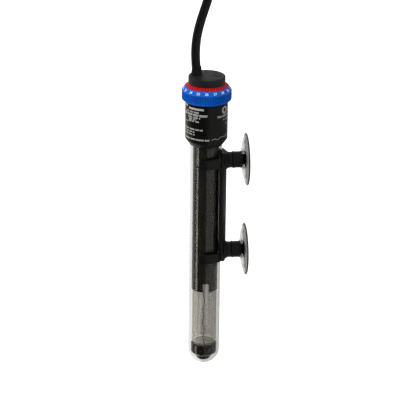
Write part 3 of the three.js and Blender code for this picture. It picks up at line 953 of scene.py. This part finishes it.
RING_BORE_R = 13.75
RING_R = 16.2
RING_BOTTOM = 231.2
RING_TOP = 237.1
NOTCHES = 45
NOTCH_DEPTH = 0.8
NOTCHED = (234.9, 236.9)  # heights between which the ring is notched


def make_calibration_ring():
    outline = filleted([
        (RING_BORE_R, RING_BOTTOM, 0.1), (RING_R, RING_BOTTOM, 0.1), (RING_R, 234.9, 0.2),
        (14.5, 236.95, 0.3), (14.15, RING_TOP, 0.1), (RING_BORE_R, RING_TOP, 0.1),
    ], closed=True)
    fine = divided(outline, 8, lambda here, after: here.y > 234.5 and after.y > here.y + 0.5)

    def notched(radius, z, angle):
        fade = min(1, max(0, (z - NOTCHED[0]) / 0.4), max(0, (NOTCHED[1] - z) / 0.3))
        if radius < 14.3:
            fade = 0
        return radius - NOTCH_DEPTH * fade * (0.5 - 0.5 * math.cos(NOTCHES * angle)) ** 2

    shell = lathe(fine, NOTCHES * 14, closed=True, radius_at=notched)
    make("calibration_collar", shell, "ring_red", "calibration", ["calibration_ring"], sharp=50)


CAP_R = 14.35
CAP_BOTTOM = 237.4
CAP_TOP = 243.1
CAP_INSIDE = 241  # height inside the cap that its bosses start from
BOSS_X = 7.5
OUTLET_X = -8
OUTLET_R = 4.6
OUTLET_BOTTOM = 223.5
OUTLET_TOP = 250.3


def make_cap():
    outline = filleted([
        (0, CAP_TOP), (2, CAP_TOP), (12.9, 242.8, 0.5), (13.15, 242.65, 0.2), (13.5, 242.9, 0.3),
        (CAP_R, 242.4, 0.7), (CAP_R, CAP_BOTTOM, 0.3), (0, CAP_BOTTOM),
    ])
    cap = make("head_cap", lathe(outline, 160), "cap_black", "heater", ["top_cap"])
    boss = filleted([
        (0, 242.95), (2.6, 242.95), (3.1, 243.3, 0.25), (3.5, 242.95), (3.5, CAP_INSIDE),
        (0, CAP_INSIDE),
    ])
    boss = moved(lathe(boss, 48), lambda x, y, z: (x + BOSS_X, y, z))
    collar = filleted([
        (0, 243.8), (5.1, 243.8, 0.4), (5.9, 242.7, 0.5), (5.9, CAP_INSIDE), (0, CAP_INSIDE),
    ])
    collar = moved(lathe(collar, 64), lambda x, y, z: (x + OUTLET_X, y, z))
    united(
        cap,
        make("cap_boss", boss, "cap_black", "heater"),
        make("cap_collar", collar, "cap_black", "heater"),
    )


def make_gland():
    """Flared rubber outlet that the lead leaves through."""
    outline = filleted([
        (0, OUTLET_BOTTOM), (OUTLET_R, OUTLET_BOTTOM, 0.3), (OUTLET_R, 243.6, 0.3),
        (4.35, 244.4, 0.4), (3.95, 246.5, 2), (3.62, 250.2, 0.05), (3.56, OUTLET_TOP, 0.02),
        (0, OUTLET_TOP),
    ])
    shape = moved(lathe(outline, 64), lambda x, y, z: (x + OUTLET_X, y, z))
    make("lead_grommet", shape, "rubber_black", "heater", ["cord_gland"])


# ---- element ----

SLEEVE_R = 10.25
SLEEVE_BOTTOM = 65
SLEEVE_TOP = 197
SLEEVE_WALL = 0.35
CUT_WIDTH = 4.9  # the notch in the sleeve's lower edge, on the -Y side
CUT_TOP = 72
FORMER_R = 8.9
FORMER_INNER_R = 7.6
FORMER_RIM_R = 9.05
FORMER_BOTTOM = 17.8
FORMER_TOP = 78
COIL_R = 9.42
COIL_WIRE_R = 0.28
COIL_PITCH = 1.25
COIL_BOTTOM = 19.4
COIL_TOP = 73.7
COIL_STEPS = 56
RETURN_R = 10.15  # the wavy wire outside the winding
RETURN_WIRE_R = 0.22
RETURN_ANGLE = -100
RETURN_BOTTOM = 17
RETURN_LENGTH = 55.5
END_R = 10.3
END_BOTTOM = 6
END_TOP = 16.9
FOOT_R = 5.6
FOOT_BOTTOM = 2.5
FOOT_TOP = 5.9


def make_sleeve():
    """Thin sheet rolled into a tube round the element, notched at its lower edge."""
    half_cut = CUT_WIDTH / 2 / SLEEVE_R
    front = -math.pi / 2
    angles = [front - half_cut + 2 * half_cut * i / 6 for i in range(7)]
    rest = math.tau - 2 * half_cut
    angles += [front + half_cut + rest * i / 120 for i in range(1, 120)]
    heights = [SLEEVE_BOTTOM, 65.4, 66.65, 68.3, 69.95, 71.6, CUT_TOP]
    heights += [74, 90, 110, 130, 150, 170, 185, SLEEVE_TOP]
    points = [around(SLEEVE_R, angle, z) for z in heights for angle in angles]
    count = len(angles)
    faces = []
    for i, z in enumerate(heights[:-1]):
        for k in range(count):
            if z < CUT_TOP and k < 6:
                continue
            j = (k + 1) % count
            faces.append([i * count + k, i * count + j, (i + 1) * count + j, (i + 1) * count + k])
    sleeve = make("element_sleeve", (points, faces), "sleeve_grey", "heater", ["heat_sleeve"])
    wall = sleeve.modifiers.new("wall", "SOLIDIFY")
    wall.thickness = SLEEVE_WALL * MM
    wall.offset = -1


def make_element():
    """Quartz former with its winding, and the wavy wire that runs back along it."""
    outline = filleted([
        (FORMER_INNER_R, FORMER_BOTTOM, 0.3), (FORMER_RIM_R, FORMER_BOTTOM, 0.3),
        (FORMER_RIM_R, 18.9, 0.2), (FORMER_R, 19, 0.05), (FORMER_R, 74.2, 0.05),
        (FORMER_RIM_R, 74.3, 0.2), (FORMER_RIM_R, FORMER_TOP, 0.3),
        (FORMER_INNER_R, FORMER_TOP, 0.3),
    ], closed=True)
    former = lathe(outline, 96, closed=True)
    make("element_former", former, "quartz", "heater", ["heating_former"])
    turns = int((COIL_TOP - COIL_BOTTOM) / COIL_PITCH)
    coil = []
    for i in range(turns * COIL_STEPS + 1):
        angle = math.tau * i / COIL_STEPS
        coil.append(around(COIL_R, angle, COIL_BOTTOM + COIL_PITCH * i / COIL_STEPS))
    coil = tube_shape(coil, COIL_WIRE_R, 8)
    make("element_coil", coil, "winding", "heater", ["heating_winding"], sharp=80)
    wire = []
    for i in range(140):
        share = i / 139
        sway = 3.2 * math.sin(share * 9 * math.pi) + 2 * math.sin(share * 3.3 * math.pi)
        angle = math.radians(RETURN_ANGLE + sway)
        wire.append(around(RETURN_R, angle, RETURN_BOTTOM + RETURN_LENGTH * share))
    wire = tube_shape(wire, RETURN_WIRE_R, 8)
    make("winding_lead", wire, "wire_dark", "heater", sharp=80)


def make_lower_end():
    """End cap with a ring on its top, and the ringed foot under it."""
    outline = filleted([
        (0, END_BOTTOM), (5.9, END_BOTTOM, 0.3), (6.6, 6.9, 0.3), (6.9, 7.2, 0.2), (7.7, 7.4, 0.4),
        (8.3, 8.3, 0.2), (10.1, 9.6, 0.8), (END_R, 10.2, 0.4), (END_R, 17.0, 0.4), (9.7, 17.4, 0.2),
        (9.5, END_TOP, 0.15), (6.6, END_TOP, 0.1), (6.4, 17.2, 0.15), (5.6, 17.2, 0.15),
        (5.4, END_TOP, 0.1), (0, END_TOP),
    ])
    make("element_end_cap", lathe(outline, 128), "end_black", "heater", ["end_cap"])
    outline = filleted([
        (0, FOOT_BOTTOM), (1.6, FOOT_BOTTOM, 0.4), (1.9, 2.8, 0.1), (2.3, FOOT_BOTTOM, 0.2),
        (3.4, 2.7, 0.5), (3.9, 3.3, 0.15), (4.5, 3.1, 0.4), (5.2, 3.9, 0.3), (5.0, 4.3, 0.12),
        (FOOT_R, 4.5, 0.3), (FOOT_R, FOOT_TOP, 0.2), (0, FOOT_TOP),
    ])
    make("rubber_foot", lathe(outline, 96), "rubber_black", "heater", ["buffer_foot"])


# ---- holder ----

CUP_HEIGHTS = {"lower": 97.1, "upper": 173}
CLIP_BOTTOMS = (90.5, 170)
CLIP_HEIGHT = 8
SOCKET_R = 6.3
SOCKET_BORE_R = 3.2
SOCKET_END = 20.3
ARM_R = 6.7
ARM_END = 31.7
CUP_RIM_R = 20.65
CUP_FACE = 32.3  # from the tube's axis to the rim that stands on the floor
# Past this radius the clear cup's rim takes painted shade.
PAINTED_SHADE_LIP_R = 19.42


def make_holder():
    """Curved spine with two clips round the glass and two sockets for the cups, as one skin."""
    spine = curved_plate(NECK_R, 16.3, bottom=89.5, top=180.6, half_angle=44, corner=6, edge=0.9)
    holder = make("holder_frame", spine, "holder_black", "holder", ["tube_holder"])
    others = []
    for bottom in CLIP_BOTTOMS:
        top = bottom + CLIP_HEIGHT
        clip = curved_plate(NECK_R, 14.8, bottom, top, half_angle=118.5, corner=2.2, edge=0.6,
                            columns=140, rows=16)
        others.append(make(f"clip_{bottom}", clip, "holder_black", "holder"))
    outline = filleted([
        (0, 13.6), (8.4, 13.6), (8.1, 15.2, 0.6), (6.9, 16.8, 1.2), (SOCKET_R, 18, 0.5),
        (SOCKET_R, SOCKET_END, 0.35), (SOCKET_BORE_R, SOCKET_END, 0.2), (SOCKET_BORE_R, 17.2, 0.2),
        (0, 17.2),
    ])
    for side, height in CUP_HEIGHTS.items():
        stub = along_x(lathe(outline, 64), height)
        others.append(make(f"stub_{side}", stub, "holder_black", "holder"))
    united(holder, *others)


def make_cups():
    """Ringed swivel arms, each with a thin clear cup whose outer rim carries painted shade: a
    near-black finish standing in for the dark line the clear edge shows.
    """
    arm = filleted([
        (0, 17.4), (2.9, 17.4, 0.3), (2.9, 20.6), (6.4, 20.6, 0.3), (ARM_R, 20.9, 0.2),
        (ARM_R, 22.2, 0.2), (6.45, 22.4, 0.1), (6.45, 26.9, 0.1), (ARM_R, 27.1, 0.2),
        (ARM_R, 28.1, 0.3), (4, 28.1, 0.2), (4, 30.2, 0.2), (ARM_R, 30.2, 0.3), (6.4, 31.3, 0.5),
        (4.6, ARM_END, 0.4), (0, ARM_END),
    ])
    skin = filleted([
        (4.3, 28.4, 0.2), (8, 28.4, 0.5), (9.2, 28.45, 0.6), (11.5, 28.9, 1.5), (16.5, 30.1, 1.5),
        (19.4, 31.2), (CUP_RIM_R, 31.7, 0.35), (CUP_RIM_R, CUP_FACE, 0.12), (19.4, CUP_FACE, 0.3),
        (17.4, 31.4, 1.0), (13, 30.5, 1.5), (8, 29.9, 1), (4.3, 29.9, 0.2),
    ], closed=True)
    for side, height in CUP_HEIGHTS.items():
        body = f"{side}_cup"
        shape = along_x(lathe(arm, 96), height)
        make(f"swivel_arm_{side}", shape, "holder_black", body, [f"cup_arm_{side}"])
        shape = along_x(lathe(skin, 144, closed=True), height)
        cup = make(f"vinyl_cup_{side}", shape, "cup_clear", body, [f"suction_cup_{side}"])
        # The outer rim of the clear vinyl cup gets painted shade, a dark finish in place of the dark
        # line its edge shows.
        cup.data.materials.append(FINISH["cup_lip"])
        for face in cup.data.polygons:
            out = face.center - row(0, 0, height)
            if out.xy.length > PAINTED_SHADE_LIP_R * MM:
                face.material_index = 1


# ---- inner pieces kept from the CAD model ----

KEPT = {
    "tube_seal": "rubber_black",
    "seal_follower": "steel",
    "head_core": "housing_black",
    "spindle_seal": "rubber_black",
    "dial_washer": "former_cream",
    "adjusting_spindle": "brass",
    "adjuster_slider": "former_cream",
    "thermostat_frame": "board_brown",
    "bimetal_blade": "steel",
    "contact_blade": "copper",
    "moving_contact": "brass",
    "fixed_contact": "brass",
    "magnet": "steel",
    "neon_lamp": "lamp_orange",
    "capacitor": "wire_blue",
    "lead_live": "wire_brown",
    "lead_neutral": "wire_blue",
    "upper_former_cap": "former_cream",
    "return_wire": "steel",
    "supply_wire": "steel",
}


def finish_kept_nodes():
    for node, finish in KEPT.items():
        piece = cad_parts[node]
        piece.data.materials.clear()
        piece.data.materials.append(FINISH[finish])


# ---- studio ----

FLOOR_HALF = 120
FLOOR_Z = -0.0002  # just under the parts that stand on it
FLOOR_GLOW = 0.2  # what the floor gives off to the object, and to the camera
FLOOR_SEEN = 1.1
DIM = (0.05, 0.05, 0.052, 1)
PALE = (0.95, 0.95, 0.94, 1)
STUDIO_CENTRE = Vector((0.05, 0, 0.03))
STRIP_OFFSET = Vector((-0.5, -0.25, 1.58))
KEY_OFFSET = Vector((1.3, -1.0, 1.1))


def make_floor():
    """Plain pale floor that the camera sees as white."""
    mesh = bpy.data.meshes.new("floor")
    square = ((-1, -1), (1, -1), (1, 1), (-1, 1))
    corners = [(x * FLOOR_HALF, y * FLOOR_HALF, FLOOR_Z) for x, y in square]
    mesh.from_pydata(corners, [], [[0, 1, 2, 3]])
    material, tree = blank("pale_floor")
    patches = noise(tree, 3, 3)
    direct = put(tree, "ShaderNodeLightPath").outputs["Is Camera Ray"]
    glow = ranged(tree, direct, FLOOR_GLOW, FLOOR_SEEN, 0, 1)
    inputs = {
        "Base Color": blended(tree, patches, (0.36, 0.364, 0.37, 1), (0.4, 0.4, 0.4, 1)),
        "Roughness": 0.85,
        "Specular IOR Level": 0.1,
        "Emission Color": (1, 1, 1, 1),
        "Emission Strength": glow,
    }
    surfaced(tree, inputs)
    mesh.materials.append(material)
    added("floor", mesh)


def make_world():
    """A pale backdrop low on the +Y side of a dim studio. The camera sees only the pale."""
    world = bpy.data.worlds.new("studio")
    world.use_nodes = True
    tree = world.node_tree
    tree.nodes.clear()
    place = put(tree, "ShaderNodeTexCoord").outputs["Generated"]
    parts = put(tree, "ShaderNodeSeparateXYZ", {0: place}).outputs
    low = ranged(tree, parts["Z"], 1, 0.45, 0.3, 1)
    behind = ranged(tree, parts["Y"], 0.05, 1, -0.05, 0.45)
    share = put(tree, "ShaderNodeMath", {0: low, 1: behind}, operation="MULTIPLY").outputs[0]
    direct = put(tree, "ShaderNodeLightPath").outputs["Is Camera Ray"]
    share = put(tree, "ShaderNodeMath", {0: share, 1: direct}, operation="MAXIMUM").outputs[0]
    colour = blended(tree, share, DIM, PALE)
    back = put(tree, "ShaderNodeBackground", {"Color": colour, "Strength": 1.0})
    put(tree, "ShaderNodeOutputWorld", {"Surface": back.outputs[0]})
    bpy.context.scene.world = world


def lamp(name, place, aim, energy, colour=(1, 1, 1), in_glass=True, **settings):
    """A rectangular lamp that no reflection shows. in_glass lets it be seen through glass."""
    data = bpy.data.lights.new(name, "AREA")
    data.shape = "RECTANGLE"
    data.energy = energy
    data.color = colour
    for key, value in settings.items():
        setattr(data, key, value)
    light = added(name, data)
    light.visible_glossy = False
    light.visible_transmission = in_glass
    light.location = place
    light.rotation_euler = (aim - place).to_track_quat("-Z", "Y").to_euler()


def make_lights():
    """A warm strip over the tube, on its upper side, and a soft key from beyond the head."""
    over = STUDIO_CENTRE + Vector((STRIP_OFFSET.x, 0, 0))
    lamp("strip", STUDIO_CENTRE + STRIP_OFFSET, over, 16, (1, 0.88, 0.75), size=3.2, size_y=0.4)
    lamp("key", STUDIO_CENTRE + KEY_OFFSET, STUDIO_CENTRE, 34, in_glass=False, size=1.5, size_y=1.5)


make_camera()
cord = make_cord()
tie = make_tie()
plug = make_plug()
make_floor()
make_world()
make_lights()
make_glass()
make_housing()
make_label_print()
make_dial()
make_numerals()
make_calibration_ring()
make_cap()
make_gland()
make_sleeve()
make_element()
make_lower_end()
make_holder()
make_cups()
finish_kept_nodes()

bpy.context.scene.view_settings.view_transform = "Standard"
